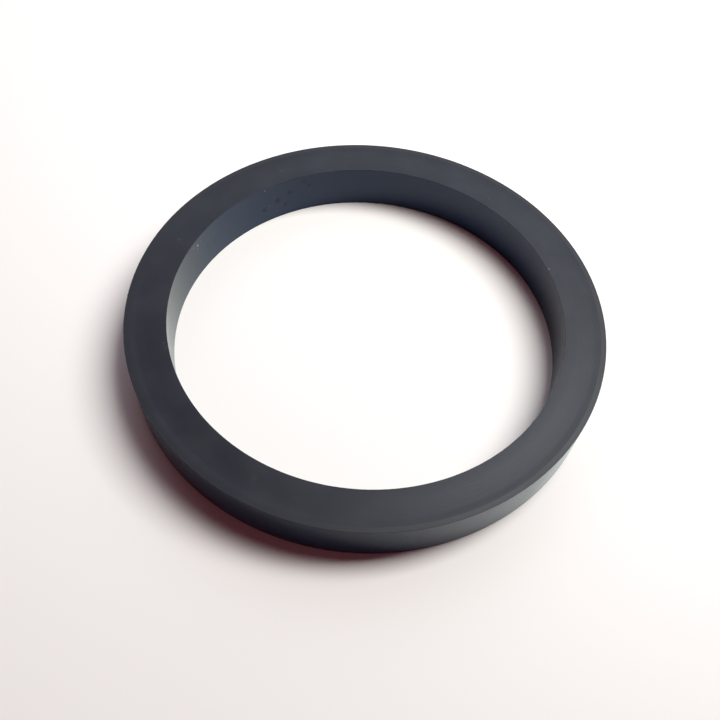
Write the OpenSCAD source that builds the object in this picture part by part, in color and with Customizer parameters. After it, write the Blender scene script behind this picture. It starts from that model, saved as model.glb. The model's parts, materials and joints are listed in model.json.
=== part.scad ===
// Rectangular-section seal ring
// One moulded rubber ring: a straight bore, a straight outer wall, two flat
// sealing faces, and a small rounding on each of its four edges.
// Millimetres. The axis is +Z and the origin is the centre of the lower face.

/* [Ring] */
// Diameter of the bore
bore_d = 53; // [20:0.5:120]
// Radial width of the section, from the bore to the outer wall
section_w = 5.5; // [2:0.1:20]
// Height of the section, from the lower face to the upper face
ring_h = 6.5; // [2:0.1:20]

/* [Edges] */
// Rounding where the bore meets the faces
bore_edge_r = 0.1; // [0.05:0.05:0.9]
// Rounding where the outer wall meets the faces
outer_edge_r = 0.1; // [0.05:0.05:0.9]

/* [Hidden] */
$fn = 128;
// Radius of the bore
bore_r = bore_d / 2;
// How far a corner cutter reaches past the section, so that no skin is left
cut_over = 0.5;
// Colour of the rubber
rubber_grey = [0.21, 0.23, 0.26];

// The waste outside one rounded corner. The corner is at the origin, with the
// section on the +X and +Y sides of it.
module corner_waste(edge_r) {
    difference() {
        translate([-cut_over, -cut_over])
            square(edge_r + cut_over);
        translate([edge_r, edge_r])
            circle(r = edge_r);
    }
}

// The waste at the two corners of one wall, which stands on X = 0.
module wall_waste(edge_r) {
    corner_waste(edge_r);
    translate([0, ring_h])
        mirror([0, 1])
            corner_waste(edge_r);
}

// The section, with its bore wall on X = 0 and its lower face on Y = 0.
module section() {
    difference() {
        square([section_w, ring_h]);
        wall_waste(bore_edge_r);
        translate([section_w, 0])
            mirror([1, 0])
                wall_waste(outer_edge_r);
    }
}

// The whole ring: its section turned round the axis.
module seal_ring() {
    color(rubber_grey)
        rotate_extrude()
            translate([bore_r, 0])
                section();
}

seal_ring();
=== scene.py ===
"""Looks of a rectangular-section rubber seal ring, on a pale floor in soft light from behind, right."""
import json
import logging
import math
from dataclasses import dataclass
from enum import Enum
from typing import Any, Sequence, Union

import bmesh
import bpy
from mathutils import Matrix, Vector, noise
from mathutils.kdtree import KDTree


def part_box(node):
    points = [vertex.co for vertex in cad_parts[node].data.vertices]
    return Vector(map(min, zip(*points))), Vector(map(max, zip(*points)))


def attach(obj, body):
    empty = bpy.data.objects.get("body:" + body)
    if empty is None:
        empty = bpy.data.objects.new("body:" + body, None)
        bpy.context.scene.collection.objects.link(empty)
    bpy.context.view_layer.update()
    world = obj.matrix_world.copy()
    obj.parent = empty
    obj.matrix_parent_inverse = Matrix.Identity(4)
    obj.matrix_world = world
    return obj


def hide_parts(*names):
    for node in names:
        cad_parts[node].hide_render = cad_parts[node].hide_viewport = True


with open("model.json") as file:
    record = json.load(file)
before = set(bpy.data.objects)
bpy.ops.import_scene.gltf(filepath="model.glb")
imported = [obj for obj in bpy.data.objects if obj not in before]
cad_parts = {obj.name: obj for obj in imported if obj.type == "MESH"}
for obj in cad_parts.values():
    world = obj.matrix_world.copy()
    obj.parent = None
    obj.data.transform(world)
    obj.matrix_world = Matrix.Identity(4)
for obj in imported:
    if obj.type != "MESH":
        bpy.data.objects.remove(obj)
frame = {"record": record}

LOG = logging.getLogger("seal_ring")
MM = 0.001
IMAGE_PX = 720
NODE = "seal_ring"
BODY = "root"

Number = Union[int, float]


class Value:
    """One number of a shader: wraps an output socket, so that Python's operators add Math nodes."""

    def __init__(self, book: "NodeBook", socket: bpy.types.NodeSocket) -> None:
        """Keeps the socket and the node tree that it is in.

        Args:
            book: The node tree's helper.
            socket: The output socket that gives the number.
        """
        self.book = book
        self.socket = socket

    def _math(self, operation: str, first: Any, second: Any) -> "Value":
        """Adds one Math node.

        Args:
            operation: The Math node's operation.
            first: Its first value or link.
            second: Its second value or link.

        Returns:
            The node's result.
        """
        return self.book.add("ShaderNodeMath", {"operation": operation}, {0: first, 1: second})

    def __add__(self, other: Union["Value", Number]) -> "Value":
        """The sum."""
        return self._math("ADD", self, other)

    __radd__ = __add__

    def __sub__(self, other: Union["Value", Number]) -> "Value":
        """The difference."""
        return self._math("SUBTRACT", self, other)

    def __rsub__(self, other: Number) -> "Value":
        """The difference, the other way round."""
        return self._math("SUBTRACT", other, self)

    def __mul__(self, other: Union["Value", Number]) -> "Value":
        """The product."""
        return self._math("MULTIPLY", self, other)

    __rmul__ = __mul__

    def __truediv__(self, other: Union["Value", Number]) -> "Value":
        """The quotient."""
        return self._math("DIVIDE", self, other)

    def larger(self, other: Union["Value", Number]) -> "Value":
        """The larger of the two."""
        return self._math("MAXIMUM", self, other)

    def ramp(self, start: float, end: float) -> "Value":
        """A smooth step from 0 at start to 1 at end.

        Args:
            start: The number at which the step begins.
            end: The number at which it ends. It may be the smaller one.

        Returns:
            The step, from 0 to 1.
        """
        sockets = {"Value": self, "From Min": min(start, end), "From Max": max(start, end)}
        if start > end:
            sockets.update({"To Min": 1.0, "To Max": 0.0})
        return self.book.add("ShaderNodeMapRange", {"interpolation_type": "SMOOTHSTEP"}, sockets)


class NodeBook:
    """Adds nodes to one shader's node tree."""

    def __init__(self, tree: bpy.types.NodeTree) -> None:
        """Empties the tree.

        Args:
            tree: The node tree of a material or of the world.
        """
        self.tree = tree
        tree.nodes.clear()

    def node(self, kind: str, settings: dict[str, Any], sockets: dict[Any, Any]) -> bpy.types.Node:
        """Adds a node.

        Args:
            kind: The node's type name.
            settings: Its own settings, which are set first.
            sockets: A value or a link for each input, by name or by place.

        Returns:
            The new node.
        """
        made = self.tree.nodes.new(kind)
        for name, setting in settings.items():
            setattr(made, name, setting)
        for key, wanted in sockets.items():
            if isinstance(wanted, Value):
                self.tree.links.new(wanted.socket, made.inputs[key])
            elif isinstance(wanted, bpy.types.NodeSocket):
                self.tree.links.new(wanted, made.inputs[key])
            else:
                made.inputs[key].default_value = wanted
        return made

    def add(self, kind: str, settings: dict[str, Any], sockets: dict[Any, Any], output: Any = 0) -> Value:
        """Adds a node and gives one of its outputs.

        Args:
            kind: The node's type name.
            settings: Its own settings, which are set first.
            sockets: A value or a link for each input, by name or by place.
            output: The name or place of the output.

        Returns:
            That output, wrapped.
        """
        return Value(self, self.node(kind, settings, sockets).outputs[output])

    def mix(self, share: Value, first: Any, second: Any) -> Value:
        """Mixes two colours.

        Args:
            share: 0 for the first colour, 1 for the second.
            first: A colour or a link.
            second: A colour or a link.

        Returns:
            The mixed colour.
        """
        settings = {"data_type": "RGBA", "clamp_factor": True}
        return self.add("ShaderNodeMix", settings, {0: share, 6: first, 7: second}, 2)

    def dot(self, first: Any, second: Any) -> Value:
        """The dot product of two vectors."""
        settings = {"operation": "DOT_PRODUCT"}
        return self.add("ShaderNodeVectorMath", settings, {0: first, 1: second}, "Value")

    def length(self, vector: Any) -> Value:
        """The length of a vector."""
        return self.add("ShaderNodeVectorMath", {"operation": "LENGTH"}, {0: vector}, "Value")

    def stretch(self, vector: Any, factors: Any) -> Value:
        """The vector with each of its parts multiplied by its own factor."""
        return self.add("ShaderNodeVectorMath", {"operation": "MULTIPLY"}, {0: vector, 1: factors})


def rgba(colour: Sequence[float]) -> tuple[float, float, float, float]:
    """The colour with an alpha of 1."""
    return (colour[0], colour[1], colour[2], 1.0)


@dataclass(frozen=True)
class RingSizes:
    """The ring's sizes, in metres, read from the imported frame.

    Attributes:
        outer_r: Radius of the outer wall.
        bore_r: Radius of the bore.
        height: Height of the ring.
        edge_r: Rounding of the four edges.
    """

    outer_r: float
    bore_r: float
    height: float
    edge_r: float

    @classmethod
    def from_frame(cls, record: dict[str, Any]) -> "RingSizes":
        """Reads the sizes.

        Args:
            record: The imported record, whose bore mount gives the bore and its straight length.

        Returns:
            The sizes.
        """
        low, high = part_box(NODE)
        bore = next(mount for mount in record["mounts"] if mount["kind"] == "bore")["dims"]
        height = high.z - low.z
        return cls(high.x, bore["r_mm"] * MM, height, (height - bore["length_mm"] * MM) / 2)

    @property
    def width(self) -> float:
        """Radial width of the section."""
        return self.outer_r - self.bore_r


class Face(Enum):
    """A face of the ring that carries a mark."""

    BORE = "bore wall"
    TOP = "upper face"


class MarkKind(Enum):
    """What a mark is."""

    # A pit is pressed into the mesh, and its dark colour is painted shade.
    PIT = "a small moulding void, which looks dark"
    DUST = "a grain of dust, a torn place or a rubbed one, which looks pale"


@dataclass(frozen=True)
class Mark:
    """A small mark on the ring.

    Attributes:
        kind: What it is.
        face: The face that it is on.
        turn_deg: Its place round the axis, from +X towards +Y.
        place_mm: Its height above the floor on the bore wall, or its radius on the upper face.
        size_mm: Its radius.
        depth_mm: How deep it is.
        strength: How far its colour covers the rubber's, from 0 to 1; for a pit that colour is painted
            shade.
    """

    kind: MarkKind
    face: Face
    turn_deg: float
    place_mm: float
    size_mm: float
    depth_mm: float
    strength: float

    def centre(self, sizes: RingSizes) -> Vector:
        """The mark's centre on the ring's surface.

        Args:
            sizes: The ring's sizes.

        Returns:
            The point, in metres.
        """
        turn = math.radians(self.turn_deg)
        radius, height = sizes.bore_r, self.place_mm * MM
        if self.face is Face.TOP:
            radius, height = self.place_mm * MM, sizes.height
        return Vector((radius * math.cos(turn), radius * math.sin(turn), height))


# The pits are dents darkened with painted shade; the dust marks are pale dust, torn or rubbed places.
MARKS: tuple[Mark, ...] = (
    Mark(MarkKind.PIT, Face.BORE, 124.5, 3.45, 0.72, 0.04, 0.36),
    Mark(MarkKind.PIT, Face.BORE, 120.1, 4.20, 0.58, 0.03, 0.36),
    Mark(MarkKind.PIT, Face.BORE, 121.8, 2.10, 0.54, 0.03, 0.36),
    Mark(MarkKind.PIT, Face.BORE, 113.2, 4.57, 0.44, 0.02, 0.32),
    Mark(MarkKind.PIT, Face.BORE, 114.9, 5.55, 0.42, 0.02, 0.32),
    Mark(MarkKind.PIT, Face.BORE, 129.5, 2.57, 0.54, 0.03, 0.36),
    Mark(MarkKind.PIT, Face.BORE, 154.1, 3.66, 0.26, 0.02, 0.35),
    Mark(MarkKind.PIT, Face.BORE, 150.2, 3.29, 0.24, 0.02, 0.35),
    Mark(MarkKind.DUST, Face.TOP, 120.7, 28.70, 0.28, 0.0, 0.07),
    Mark(MarkKind.DUST, Face.BORE, 128.6, 6.10, 0.18, 0.0, 0.38),
    Mark(MarkKind.DUST, Face.BORE, 127.2, 2.83, 0.22, 0.0, 0.07),
    Mark(MarkKind.DUST, Face.TOP, 21.9, 26.76, 0.20, 0.0, 0.35),
    Mark(MarkKind.DUST, Face.TOP, 54.1, 28.16, 0.18, 0.0, 0.10),
    Mark(MarkKind.DUST, Face.TOP, 82.6, 30.04, 0.18, 0.0, 0.08),
    Mark(MarkKind.DUST, Face.TOP, 77.7, 30.85, 0.20, 0.0, 0.09),
    Mark(MarkKind.DUST, Face.BORE, 158.3, 5.30, 0.28, 0.03, 0.80),
    Mark(MarkKind.DUST, Face.BORE, 158.6, 4.70, 0.26, 0.02, 0.14),
    Mark(MarkKind.DUST, Face.BORE, 156.5, 5.46, 0.20, 0.02, 0.10),
    Mark(MarkKind.DUST, Face.BORE, 160.3, 5.65, 0.22, 0.02, 0.18),
    Mark(MarkKind.DUST, Face.TOP, 197.6, 26.97, 0.32, 0.01, 0.035),
    Mark(MarkKind.DUST, Face.TOP, 199.1, 26.80, 0.28, 0.01, 0.035),
    Mark(MarkKind.DUST, Face.TOP, 160.4, 28.74, 0.40, 0.01, 0.04),
    Mark(MarkKind.DUST, Face.TOP, 246.3, 28.60, 0.65, 0.01, 0.012),
)


@dataclass(frozen=True)
class SurfacePlace:
    """Where a point of the ring's surface is, as values in its material.

    Attributes:
        place: Its position, in millimetres.
        inside: How far inside the outer wall it is, in millimetres.
        flatness: 1 on the flat faces, 0 on the walls.
        backward: 1 where it faces +Y, 0 where it faces -Y.
        aside: The cosine of its turn from the side towards the lamp, where the painted highlights on the
            turned lines and the rim are strongest.
        shows: How strong those painted highlights, and the painted shade in the first witness line, are
            there, from 0 to 1.
        mottle: The paler and darker patches there, about 0.5.
        grain: The fine grain there, about 0.5.
        lines: The turned lines there, about 0.5.
    """

    place: Value
    inside: Value
    flatness: Value
    backward: Value
    aside: Value
    shows: Value
    mottle: Value
    grain: Value
    lines: Value


@dataclass(frozen=True)
class RubberFinish:
    """Satin black rubber with a cool tint, a paler rim, faint turned lines and a little dust, with painted
    highlights, painted shade and a painted cool reflection.

    Attributes:
        face_colour: The rubber's colour on the flat faces.
        painted_cool_wall_colour: Its colour on the walls that face -Y: bluer than the rubber, a painted
            cool reflection.
        dull_wall_colour: Its colour on the walls that face +Y.
        bloom: Its colour where the surface is a little paler, in patches, and along the turned lines, where
            it serves as a painted highlight.
        pale_rim_and_highlight_colour: Its colour on the rim of the flat faces, outside the first witness
            line: a paler tone all round, with a painted highlight towards the lamp.
        painted_shade_colour: The near-black colour of the painted shade in the pits, in the first witness
            line and on the outer wall.
        dust_colour: The colour of dust and of torn rubber.
        face_roughness: The middle of the roughness of the flat faces.
        wall_roughness: The middle of the roughness of the walls.
        gloss: The level of its mirror reflection.
        gloss_tint: The colour of its mirror reflection.
        sheen: Strength of the pale sheen that fine dust gives it at a flat angle.
        sheen_roughness: How wide that sheen is.
        sheen_tint: The colour of that sheen.
        mottle_mm: Size of the paler and darker patches.
        grain_mm: Size of the fine grain.
        line_mm: Spacing of the turned lines on the flat faces.
        lamp_side_turn_deg: The side towards the lamp, from +X towards +Y: there the painted highlights on
            the turned lines and the rim and the painted shade in the first witness line are strongest, and
            the painted shade on the outer wall lies opposite.
        grain_height_mm: Height of the grain.
        line_height_mm: Height of the turned lines.
        line_shade: How far painted shade darkens the first witness line, from 0 to 1.
        wall_shade: How far painted shade darkens the outer wall, on the side away from the lamp.
        wall_patches: How far the paler patches cover the rubber on the walls, from 0 to 1.
        face_patches: How much further they cover it on the flat faces.
        line_bloom_and_highlight: How far the turned lines are painted paler with the bloom colour, a
            painted highlight that is strongest towards the lamp, from 0 to 1.
        mottle_roughness: How much the roughness varies from patch to patch.
        grain_roughness: How much it varies from grain to grain.
        bump_strength: Strength of the grain and the turned lines in the light.
    """

    face_colour: tuple[float, float, float] = (0.0106, 0.0110, 0.0178)
    painted_cool_wall_colour: tuple[float, float, float] = (0.0030, 0.0140, 0.0510)
    dull_wall_colour: tuple[float, float, float] = (0.0085, 0.0098, 0.0165)
    bloom: tuple[float, float, float] = (0.0230, 0.0255, 0.0330)
    pale_rim_and_highlight_colour: tuple[float, float, float] = (0.0175, 0.0172, 0.0215)
    painted_shade_colour: tuple[float, float, float] = (0.0030, 0.0030, 0.0040)
    dust_colour: tuple[float, float, float] = (0.38, 0.39, 0.40)
    face_roughness: float = 0.46
    wall_roughness: float = 0.20
    gloss: float = 0.32
    gloss_tint: tuple[float, float, float] = (0.84, 0.91, 0.95)
    sheen: float = 0.145
    sheen_roughness: float = 0.42
    sheen_tint: tuple[float, float, float] = (0.66, 1.0, 0.96)
    mottle_mm: float = 5.0
    grain_mm: float = 0.16
    line_mm: float = 0.35
    lamp_side_turn_deg: float = 0.0
    grain_height_mm: float = 0.010
    line_height_mm: float = 0.008
    line_shade: float = 0.16
    wall_shade: float = 0.33
    wall_patches: float = 0.15
    face_patches: float = 0.30
    line_bloom_and_highlight: float = 0.35
    mottle_roughness: float = 0.12
    grain_roughness: float = 0.10
    bump_strength: float = 0.6

    def material(self, sizes: RingSizes, marks: Sequence[Mark], rim_mm: float) -> bpy.types.Material:
        """Makes the material.

        Args:
            sizes: The ring's sizes.
            marks: The marks, whose colours the material shows.
            rim_mm: Width of the paler rim.

        Returns:
            The material.
        """
        made = bpy.data.materials.new("satin_black_rubber")
        made.use_nodes = True
        book = NodeBook(made.node_tree)
        at = self._surface_place(book, sizes)
        dust = self._mask(book, at.place, sizes, marks, MarkKind.DUST)
        # Mask of the painted shade in the pits.
        pit_shade = self._mask(book, at.place, sizes, marks, MarkKind.PIT)
        shader = book.node(
            "ShaderNodeBsdfPrincipled",
            {},
            {
                "Base Color": book.mix(dust, self._rubber_colour(book, at, rim_mm), rgba(self.dust_colour)),
                "Roughness": self._roughness(at),
                "Normal": self._bump(book, at),
                "IOR": 1.5,
                "Specular IOR Level": self.gloss,
                "Specular Tint": rgba(self.gloss_tint),
                "Sheen Weight": self.sheen,
                "Sheen Roughness": self.sheen_roughness,
                "Sheen Tint": rgba(self.sheen_tint),
            },
        )
        # Painted shade: a near-black diffuse mixed over the pits, the first witness line and the outer wall
        # away from the lamp.
        painted_shade = book.node("ShaderNodeBsdfDiffuse", {}, {"Color": rgba(self.painted_shade_colour)})
        painted_shade_share = pit_shade.larger(self._line_shade_mask(at, rim_mm)).larger(self._wall_shade_mask(at))
        surface = book.add("ShaderNodeMixShader", {}, {0: painted_shade_share, 1: shader.outputs[0], 2: painted_shade.outputs[0]})
        book.node("ShaderNodeOutputMaterial", {}, {"Surface": surface})
        return made

    def _surface_place(self, book: NodeBook, sizes: RingSizes) -> SurfacePlace:
        """Adds the values that say where on the ring the material is.

        Args:
            book: The material's nodes.
            sizes: The ring's sizes.

        Returns:
            The values.
        """
        where = book.add("ShaderNodeTexCoord", {}, {}, "Object")
        place = book.add("ShaderNodeVectorMath", {"operation": "SCALE"}, {0: where, "Scale": 1 / MM})
        flat = book.stretch(place, (1.0, 1.0, 0.0))
        radius = book.length(flat)
        turn = math.radians(self.lamp_side_turn_deg)
        aside = book.dot(flat, (math.cos(turn), math.sin(turn), 0.0)) / radius
        facing = book.add("ShaderNodeNewGeometry", {}, {}, "Normal")
        upright = book.length(book.stretch(facing, (0.0, 0.0, 1.0)))
        lines = book.add(
            "ShaderNodeTexNoise",
            {"noise_dimensions": "1D"},
            {"W": radius, "Scale": 1 / self.line_mm, "Detail": 2.0, "Roughness": 0.6},
        )
        return SurfacePlace(
            place=place,
            inside=sizes.outer_r / MM - radius,
            flatness=upright.ramp(0.2, 0.9),
            backward=book.dot(facing, (0.0, 1.0, 0.0)).ramp(-0.7, 0.1),
            aside=aside,
            shows=aside.ramp(-0.8, 1.0),
            mottle=self._noise(book, place, self.mottle_mm, 3.0),
            grain=self._noise(book, place, self.grain_mm, 2.0),
            lines=lines,
        )

    def _rubber_colour(self, book: NodeBook, at: SurfacePlace, rim_mm: float) -> Value:
        """Adds the rubber's colour, with its patches, the painted cool reflection on the walls, and the
        turned lines and rim with their painted highlights.

        Args:
            book: The material's nodes.
            at: Where on the ring it is.
            rim_mm: Width of the paler rim.

        Returns:
            The colour.
        """
        # Painted cool reflection: the walls that face -Y are bluer than those that face +Y.
        walls = book.mix(at.backward, rgba(self.painted_cool_wall_colour), rgba(self.dull_wall_colour))
        colour = book.mix(at.flatness, walls, rgba(self.face_colour))
        patches = at.mottle.ramp(0.35, 0.75) * (self.wall_patches + at.flatness * self.face_patches)
        colour = book.mix(patches, colour, rgba(self.bloom))
        # Painted highlight: the turned lines are paler, most of all towards the lamp.
        line_bloom_and_highlight = at.lines.ramp(0.45, 0.75) * at.mottle.ramp(0.35, 0.60)
        line_bloom_and_highlight = line_bloom_and_highlight * at.flatness * at.shows * at.shows * self.line_bloom_and_highlight
        colour = book.mix(line_bloom_and_highlight, colour, rgba(self.bloom))
        # The rim is paler all round, and more so towards the lamp as a painted highlight.
        rim = at.inside.ramp(rim_mm, rim_mm * 0.85) * at.flatness * (0.4 + at.shows * 0.6)
        return book.mix(rim, colour, rgba(self.pale_rim_and_highlight_colour))

    def _roughness(self, at: SurfacePlace) -> Value:
        """Adds the roughness, which varies with the patches and the grain.

        Args:
            at: Where on the ring it is.

        Returns:
            The roughness.
        """
        middle = self.wall_roughness + at.flatness * (self.face_roughness - self.wall_roughness)
        return middle + (at.mottle - 0.5) * self.mottle_roughness + (at.grain - 0.5) * self.grain_roughness

    def _bump(self, book: NodeBook, at: SurfacePlace) -> Value:
        """Adds the bump of the grain and the turned lines.

        Args:
            book: The material's nodes.
            at: Where on the ring it is.

        Returns:
            The bumped normal.
        """
        height = at.grain * self.grain_height_mm + at.lines * self.line_height_mm
        sockets = {"Strength": self.bump_strength, "Distance": MM, "Height": height}
        return book.add("ShaderNodeBump", {}, sockets)

    def _line_shade_mask(self, at: SurfacePlace, rim_mm: float) -> Value:
        """Adds a mask of the painted shade in the first witness line, strongest towards the lamp.

        Args:
            at: Where on the ring it is.
            rim_mm: How far inside the outer wall the line lies.

        Returns:
            The mask.
        """
        # Painted shade in the first witness line, strongest towards the lamp.
        line = at.inside.ramp(rim_mm * 0.88, rim_mm) * at.inside.ramp(rim_mm * 1.14, rim_mm * 1.02)
        return line * at.flatness * at.shows * self.line_shade

    def _wall_shade_mask(self, at: SurfacePlace) -> Value:
        """Adds a mask of the painted shade on the outer wall, on the side away from the lamp.

        Args:
            at: Where on the ring it is.

        Returns:
            The mask.
        """
        # Painted shade on the outer wall, away from the lamp.
        outer_wall = at.inside.ramp(1.0, 0.5) * (1 - at.flatness)
        return outer_wall * at.aside.ramp(0.5, 0.0) * self.wall_shade

    @staticmethod
    def _noise(book: NodeBook, place: Value, size_mm: float, detail: float) -> Value:
        """Adds a noise whose features are about the given size.

        Args:
            book: The material's nodes.
            place: The position, in millimetres.
            size_mm: Size of the features.
            detail: How many finer layers it has.

        Returns:
            The noise, about 0.5.
        """
        return book.add("ShaderNodeTexNoise", {}, {"Vector": place, "Scale": 1 / size_mm, "Detail": detail})

    @staticmethod
    def _mask(
        book: NodeBook, place: Value, sizes: RingSizes, marks: Sequence[Mark], kind: MarkKind
    ) -> Value:
        """Adds a mask that has its full strength in the middle of each mark and is 0 away from them.

        Args:
            book: The material's nodes.
            place: The position, in millimetres.
            sizes: The ring's sizes.
            marks: All the marks.
            kind: The kind of mark that the mask is for.

        Returns:
            The mask.
        """
        total = None
        for mark in [mark for mark in marks if mark.kind is kind]:
            centre = mark.centre(sizes) / MM
            away = book.add(
                "ShaderNodeVectorMath", {"operation": "DISTANCE"}, {0: place, 1: centre}, "Value"
            )
            spot = away.ramp(mark.size_mm, 0.0) * mark.strength
            total = spot if total is None else total.larger(spot)
        return total


@dataclass
class SealRing:
    """The ring itself, one piece of moulded rubber.

    Attributes:
        sizes: Its sizes.
        marks: The small marks on it.
        steps: How many steps the section is turned in.
        face_loops: How many loops of edges would spread evenly over a flat face.
        rim_loops: How many of those give way to the loops of the witness lines.
        wall_loops: How many loops of edges spread evenly over a wall.
        beside_edge: How far from a wall or face the loop beside its edge lies, in edge roundings.
        edge_segments: How many segments round an edge.
        edge_share: How much of the frame's edge rounding the crisp edges show.
        witness_in_mm: How far inside the outer wall each witness line lies.
        witness_half_mm: Half the width of a witness line.
        witness_depth_mm: Depth of each witness line, where it is deepest.
        witness_pitch_mm: Length over which a witness line comes and goes.
        rim_drop_mm: How far the rim outside the first line falls away towards the edge.
        sink_mm: How far the flat faces have sunk in the mould, where they are lowest.
        sink_in_mm: How far inside the outer wall they are lowest.
        sink_half_mm: How far the sunk part reaches from there towards the bore.
        rise_mm: Over which width it rises to the rim.
        wobble_mm: How uneven the upper edge of the bore is.
        wobble_pitch_mm: Length of that unevenness.
        nick_pitch_mm: Length of the finer nicks in it.
        refine_cuts: How many cuts each edge gets near a mark.
        refine_reach: How far those cuts reach round a mark, in radii of the mark.
        refine_margin_mm: How much further they reach.
        mark_reach: How far a mark's dent reaches, in radii of the mark.
        mark_fall: How fast the dent fades out.
    """

    sizes: RingSizes
    marks: Sequence[Mark] = MARKS
    steps: int = 720
    face_loops: int = 12
    rim_loops: int = 3
    wall_loops: int = 14
    beside_edge: float = 1.3
    edge_segments: int = 4
    edge_share: float = 0.4
    witness_in_mm: tuple[float, ...] = (0.80, 1.60)
    witness_half_mm: float = 0.08
    witness_depth_mm: tuple[float, ...] = (0.012, 0.006)
    witness_pitch_mm: float = 9.0
    rim_drop_mm: float = 0.006
    sink_mm: float = 0.055
    sink_in_mm: float = 2.2
    sink_half_mm: float = 2.8
    rise_mm: float = 0.5
    wobble_mm: float = 0.015
    wobble_pitch_mm: float = 1.6
    nick_pitch_mm: float = 0.4
    refine_cuts: int = 3
    refine_reach: float = 1.6
    refine_margin_mm: float = 0.2
    mark_reach: float = 1.5
    mark_fall: float = 2.2

    def build(self, finish: RubberFinish) -> bpy.types.Object:
        """Models the ring and gives it its finish.

        Args:
            finish: The rubber.

        Returns:
            The finished piece, riding on the frame.
        """
        mesh_edit = bmesh.new()
        self._draw_section(mesh_edit)
        self._turn_section(mesh_edit)
        self._refine_near_marks(mesh_edit)
        self._roughen(mesh_edit)
        mesh = bpy.data.meshes.new("moulded_ring")
        mesh_edit.to_mesh(mesh)
        mesh_edit.free()
        mesh.polygons.foreach_set("use_smooth", [True] * len(mesh.polygons))
        mesh.materials.append(finish.material(self.sizes, self.marks, self.witness_in_mm[0]))
        ring = bpy.data.objects.new("moulded_ring", mesh)
        bpy.context.scene.collection.objects.link(ring)
        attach(ring, BODY)
        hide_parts(NODE)
        return ring

    @property
    def _edge_r(self) -> float:
        """Rounding of the crisp edges, in metres."""
        return self.sizes.edge_r * self.edge_share

    def _draw_section(self, edit: bmesh.types.BMesh) -> None:
        """Draws the outline of the section in the XZ plane, with rounded corners.

        Args:
            edit: The empty mesh to draw in.
        """
        sizes = self.sizes
        to_section = Matrix.Translation(Vector(((sizes.bore_r + sizes.outer_r) / 2, 0, sizes.height / 2)))
        to_section @= Matrix.Rotation(math.radians(90), 4, "X")
        to_section @= Matrix.Diagonal(Vector((sizes.width, sizes.height, 1, 1)))
        bmesh.ops.create_grid(edit, x_segments=1, y_segments=1, size=0.5, matrix=to_section)
        bmesh.ops.bevel(
            edit,
            geom=edit.verts[:],
            offset=self._edge_r,
            offset_type="ABSOLUTE",
            affect="VERTICES",
            segments=self.edge_segments,
            profile=0.5,
            material=-1,
        )
        for radius in self._loop_radii():
            self._cut(edit, Vector((radius, 0, 0)), Vector((1, 0, 0)))
        for height in self._loop_heights():
            self._cut(edit, Vector((0, 0, height)), Vector((0, 0, 1)))
        bmesh.ops.delete(edit, geom=edit.faces[:], context="FACES_KEEP_BOUNDARY")

    @staticmethod
    def _cut(edit: bmesh.types.BMesh, point: Vector, normal: Vector) -> None:
        """Cuts the section along a plane, which puts a corner on its outline there.

        Args:
            edit: The mesh with the section.
            point: A point on the plane.
            normal: The plane's normal.
        """
        whole = [*edit.verts, *edit.edges, *edit.faces]
        bmesh.ops.bisect_plane(edit, geom=whole, dist=1e-8, plane_co=point, plane_no=normal)

    def _loop_radii(self) -> list[float]:
        """Finds where the flat faces get a loop of edges: beside each edge, and at the witness lines.

        Returns:
            The radii of the loops, in metres.
        """
        sizes, half = self.sizes, self.witness_half_mm * MM
        near_edge = self._edge_r * self.beside_edge
        first, last = sizes.bore_r + near_edge, sizes.outer_r - near_edge
        radii = [first, last]
        for inside in self.witness_in_mm:
            middle = sizes.outer_r - inside * MM
            radii += [middle + half * k for k in (-2, -1, 0, 1, 2)]
        between = sizes.width - 2 * near_edge
        radii += [first + between * k / self.face_loops for k in range(1, self.face_loops - self.rim_loops)]
        return radii

    def _loop_heights(self) -> list[float]:
        """Finds where the walls get a loop of edges: beside each edge, and evenly between.

        Returns:
            The heights of the loops, in metres.
        """
        near_edge = self._edge_r * self.beside_edge
        between = self.sizes.height - 2 * near_edge
        return [near_edge + between * k / self.wall_loops for k in range(self.wall_loops + 1)]

    def _turn_section(self, edit: bmesh.types.BMesh) -> None:
        """Turns the outline round the axis and closes the ring.

        Args:
            edit: The mesh with the section's outline.
        """
        bmesh.ops.spin(
            edit,
            geom=[*edit.verts, *edit.edges],
            cent=Vector((0, 0, 0)),
            axis=Vector((0, 0, 1)),
            angle=math.tau,
            steps=self.steps,
            use_merge=True,
        )
        bmesh.ops.remove_doubles(edit, verts=edit.verts[:], dist=1e-7)
        bmesh.ops.recalc_face_normals(edit, faces=edit.faces[:])

    def _refine_near_marks(self, edit: bmesh.types.BMesh) -> None:
        """Cuts the mesh finer where a mark is to be pressed in.

        Args:
            edit: The ring's mesh.
        """
        edit.verts.ensure_lookup_table()
        tree = self._tree(edit)
        edges = set()
        for mark in self.marks:
            reach = (mark.size_mm * self.refine_reach + self.refine_margin_mm) * MM
            for _, index, _ in tree.find_range(mark.centre(self.sizes), reach):
                edges.update(edit.verts[index].link_edges)
        bmesh.ops.subdivide_edges(
            edit, edges=list(edges), cuts=self.refine_cuts, use_grid_fill=True, use_single_edge=True
        )

    @staticmethod
    def _tree(edit: bmesh.types.BMesh) -> KDTree:
        """Sorts the mesh's corners, so that those near a point are found fast.

        Args:
            edit: The ring's mesh.

        Returns:
            The sorted corners.
        """
        tree = KDTree(len(edit.verts))
        for index, vert in enumerate(edit.verts):
            tree.insert(vert.co, index)
        tree.balance()
        return tree

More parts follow.
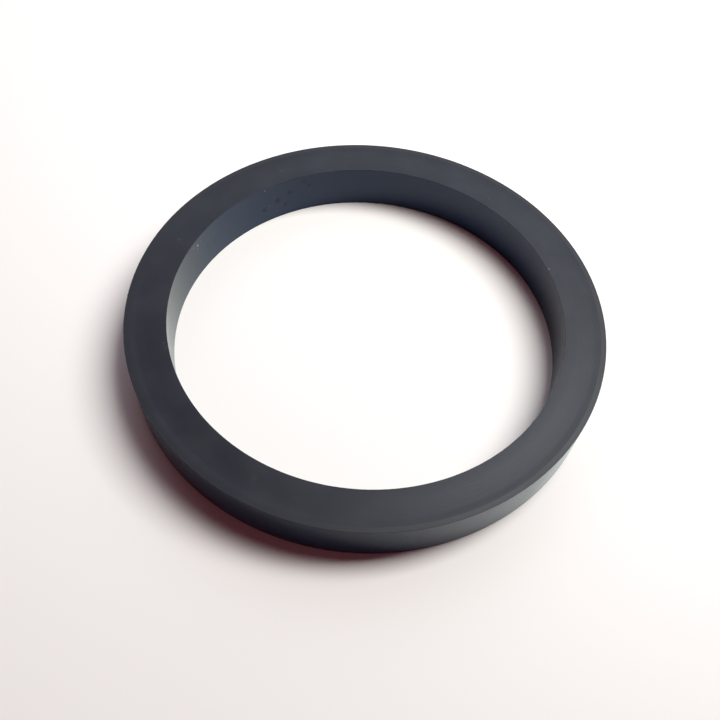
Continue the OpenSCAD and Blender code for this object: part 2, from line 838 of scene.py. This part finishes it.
    def _roughen(self, edit: bmesh.types.BMesh) -> None:
        """Presses the marks in, and gives the surface the depths that its moulding and wear left.

        Args:
            edit: The ring's mesh.
        """
        edit.normal_update()
        edit.verts.ensure_lookup_table()
        depths = [self._worn_depth(vert.co) for vert in edit.verts]
        tree = self._tree(edit)
        for mark in self.marks:
            size = mark.size_mm * MM
            for _, index, away in tree.find_range(mark.centre(self.sizes), size * self.mark_reach):
                depths[index] += mark.depth_mm * MM * math.exp(-self.mark_fall * (away / size) ** 2)
        places = [vert.co - vert.normal * depth for vert, depth in zip(edit.verts, depths)]
        for vert, place in zip(edit.verts, places):
            vert.co = place

    def _worn_depth(self, point: Vector) -> float:
        """How far a point lies under the plain surface, in metres, apart from the marks."""
        return self._edge_wobble(point) + self._witness_depth(point) + self._sink_depth(point)

    def _edge_wobble(self, point: Vector) -> float:
        """How far a point near the upper edge of the bore is worn in.

        Args:
            point: A point of the surface.

        Returns:
            The depth, in metres, 0 away from that edge.
        """
        sizes = self.sizes
        from_edge = math.hypot(math.hypot(point.x, point.y) - sizes.bore_r, point.z - sizes.height)
        near = 1 - from_edge / (2 * sizes.edge_r)
        if near <= 0:
            return 0.0
        nicks = 0.5 * noise.noise(point / (self.nick_pitch_mm * MM))
        uneven = noise.noise(point / (self.wobble_pitch_mm * MM)) + nicks
        return max(0.0, uneven) * near * self.wobble_mm * MM

    def _sink_depth(self, point: Vector) -> float:
        """How far a point of a flat face, inside the first witness line, has sunk.

        Args:
            point: A point of the surface.

        Returns:
            The depth, in metres, 0 on the walls and on the rim.
        """
        sizes = self.sizes
        if sizes.edge_r < point.z < sizes.height - sizes.edge_r:
            return 0.0
        inside = (sizes.outer_r - math.hypot(point.x, point.y)) / MM
        across = (inside - self.sink_in_mm) / self.sink_half_mm
        past_line = (inside - self.witness_in_mm[0]) / self.rise_mm
        if abs(across) >= 1 or past_line <= 0:
            return 0.0
        return self.sink_mm * MM * 0.5 * (1 + math.cos(math.pi * across)) * min(1.0, past_line)

    def _witness_depth(self, point: Vector) -> float:
        """How deep a point of the upper face lies in a witness line, or on the rim outside the first line.

        Args:
            point: A point of the surface.

        Returns:
            The depth, in metres, 0 away from the lines and the rim.
        """
        sizes = self.sizes
        if point.z < sizes.height - sizes.edge_r:
            return 0.0
        inside = sizes.outer_r - math.hypot(point.x, point.y)
        depth = self.rim_drop_mm * max(0.0, 1 - inside / (self.witness_in_mm[0] * MM))
        for line_mm, line_depth_mm in zip(self.witness_in_mm, self.witness_depth_mm):
            near = max(0.0, 1 - abs(inside - line_mm * MM) / (self.witness_half_mm * MM))
            comes = 0.6 + 0.8 * noise.noise(point / (self.witness_pitch_mm * MM))
            depth += near * line_depth_mm * min(1.0, max(0.1, comes))
        return depth * MM


@dataclass(frozen=True)
class Studio:
    """The pale floor, the soft lamp and the dim room round them.

    Attributes:
        floor_half: Half the side of the floor, in metres.
        floor_drop_mm: How far under the ring it lies.
        floor_colour: The floor's colour.
        floor_roughness: Its roughness.
        floor_gloss: The level of its mirror reflection.
        lamp_turn_deg: Where the lamp is round the axis, from +X towards +Y.
        lamp_height_deg: How high it stands above the floor, seen from the ring.
        lamp_away: How far it is from the ring, in metres.
        lamp_wide: The lamp's width, in metres.
        lamp_tall: The lamp's height, in metres.
        lamp_roll_deg: How far it is rolled about its own axis.
        lamp_aim: Where on the floor it is aimed, in metres.
        lamp_watts: Its power.
        lamp_colour: Its colour.
        bright_side: The room's colour on the side of the lamp.
        dim_side: The room's colour on the other side.
        bright_towards: The direction of the bright side.
        bright_span: Cosines of the angles from there at which the bright side begins and is full.
    """

    floor_half: float = 4.0
    floor_drop_mm: float = 0.01
    floor_colour: tuple[float, float, float] = (0.895, 0.893, 0.868)
    floor_roughness: float = 0.9
    floor_gloss: float = 0.1
    lamp_turn_deg: float = 30.4
    lamp_height_deg: float = 57.5
    lamp_away: float = 0.326
    lamp_wide: float = 0.191
    lamp_tall: float = 0.212
    lamp_roll_deg: float = 48.2
    lamp_aim: tuple[float, float, float] = (-0.032, 0.310, 0.0)
    lamp_watts: float = 1.89
    lamp_colour: tuple[float, float, float] = (1.0, 0.99, 0.97)
    bright_side: tuple[float, float, float] = (1.22, 1.26, 1.41)
    dim_side: tuple[float, float, float] = (0.094, 0.029, 0.035)
    bright_towards: tuple[float, float, float] = (0.04, 0.90, 0.42)
    bright_span: tuple[float, float] = (0.6, 1.0)

    def build(self) -> None:
        """Makes the floor, the lamp and the room's light."""
        self._floor()
        self._lamp()
        self._room()

    def _floor(self) -> None:
        """Lays the floor just under the ring."""
        edit = bmesh.new()
        under = Matrix.Translation(Vector((0, 0, -self.floor_drop_mm * MM)))
        bmesh.ops.create_grid(edit, x_segments=1, y_segments=1, size=self.floor_half, matrix=under)
        mesh = bpy.data.meshes.new("pale_floor")
        edit.to_mesh(mesh)
        edit.free()
        paper = bpy.data.materials.new("pale_paper")
        paper.use_nodes = True
        book = NodeBook(paper.node_tree)
        shader = book.node(
            "ShaderNodeBsdfPrincipled",
            {},
            {
                "Base Color": rgba(self.floor_colour),
                "Roughness": self.floor_roughness,
                "Specular IOR Level": self.floor_gloss,
            },
        )
        book.node("ShaderNodeOutputMaterial", {}, {"Surface": shader.outputs[0]})
        mesh.materials.append(paper)
        floor = bpy.data.objects.new("pale_floor", mesh)
        bpy.context.scene.collection.objects.link(floor)

    def _lamp(self) -> None:
        """Hangs the soft lamp and turns it towards the floor behind the ring."""
        lamp = bpy.data.lights.new("soft_lamp", "AREA")
        lamp.shape = "RECTANGLE"
        lamp.size = self.lamp_wide
        lamp.size_y = self.lamp_tall
        lamp.energy = self.lamp_watts
        lamp.color = self.lamp_colour
        turn, rise = math.radians(self.lamp_turn_deg), math.radians(self.lamp_height_deg)
        towards = Vector((math.cos(rise) * math.cos(turn), math.cos(rise) * math.sin(turn), math.sin(rise)))
        hung = bpy.data.objects.new("soft_lamp", lamp)
        hung.location = towards * self.lamp_away
        back = hung.location - Vector(self.lamp_aim)
        roll = Matrix.Rotation(math.radians(self.lamp_roll_deg), 3, "Z")
        hung.rotation_euler = (back.to_track_quat("Z", "Y").to_matrix() @ roll).to_euler()
        bpy.context.scene.collection.objects.link(hung)

    def _room(self) -> None:
        """Lights the room: paler on the lamp's side, dim and warm on the other."""
        world = bpy.data.worlds.new("soft_room")
        world.use_nodes = True
        book = NodeBook(world.node_tree)
        towards = Vector(self.bright_towards).normalized()
        direction = book.add("ShaderNodeTexCoord", {}, {}, "Generated")
        bright = book.dot(direction, towards).ramp(*self.bright_span)
        colour = book.mix(bright, rgba(self.dim_side), rgba(self.bright_side))
        shader = book.node("ShaderNodeBackground", {}, {"Color": colour, "Strength": 1.0})
        book.node("ShaderNodeOutputWorld", {}, {"Surface": shader.outputs[0]})
        bpy.context.scene.world = world


@dataclass(frozen=True)
class PhotoCamera:
    """The camera at the photograph's place, found by fitting the ring's edges.

    Attributes:
        away_radii: Its distance from the origin, in outer radii of the ring.
        height_deg: Its height above the floor, seen from the origin.
        tilt_deg: How far below the origin it aims.
        pan_deg: How far it is turned aside.
        roll_deg: How far it is rolled.
        focal_px: Its focal length, in pixels of the image.
        centre_px: The pixel at which its axis meets the image.
    """

    away_radii: float = 3.4496
    height_deg: float = 53.4473
    tilt_deg: float = 7.4116
    pan_deg: float = -0.2527
    roll_deg: float = 4.8740
    focal_px: float = 776.18
    centre_px: tuple[float, float] = (360.0, 440.0)

    def build(self, sizes: RingSizes) -> None:
        """Makes the camera and gives it to the scene.

        Args:
            sizes: The ring's sizes, which set the distance.
        """
        camera = bpy.data.cameras.new("photo_camera")
        camera.sensor_fit = "HORIZONTAL"
        camera.sensor_width = 36.0
        camera.lens = self.focal_px * camera.sensor_width / IMAGE_PX
        camera.shift_x = (IMAGE_PX / 2 - self.centre_px[0]) / IMAGE_PX
        camera.shift_y = (self.centre_px[1] - IMAGE_PX / 2) / IMAGE_PX
        camera.clip_start = 1 * MM
        rise = math.radians(self.height_deg)
        away = self.away_radii * sizes.outer_r
        pitch = Matrix.Rotation(math.radians(90 - self.height_deg - self.tilt_deg), 4, "X")
        pan = Matrix.Rotation(math.radians(self.pan_deg), 4, "Y")
        roll = Matrix.Rotation(math.radians(self.roll_deg), 4, "Z")
        stand = Matrix.Translation(Vector((0, -away * math.cos(rise), away * math.sin(rise))))
        placed = bpy.data.objects.new("photo_camera", camera)
        bpy.context.scene.collection.objects.link(placed)
        placed.matrix_world = stand @ pitch @ pan @ roll
        bpy.context.scene.camera = placed


def main() -> None:
    """Builds the ring, the studio and the camera."""
    logging.basicConfig(level=logging.INFO, format="%(name)s: %(message)s")
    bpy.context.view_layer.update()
    bpy.context.scene.view_settings.view_transform = "Standard"
    sizes = RingSizes.from_frame(frame["record"])
    ring = SealRing(sizes).build(RubberFinish())
    LOG.info("%s: %d faces", ring.name, len(ring.data.polygons))
    Studio().build()
    LOG.info("floor, lamp and room")
    PhotoCamera().build(sizes)
    LOG.info("camera")


if __name__ == "__main__":
    main()
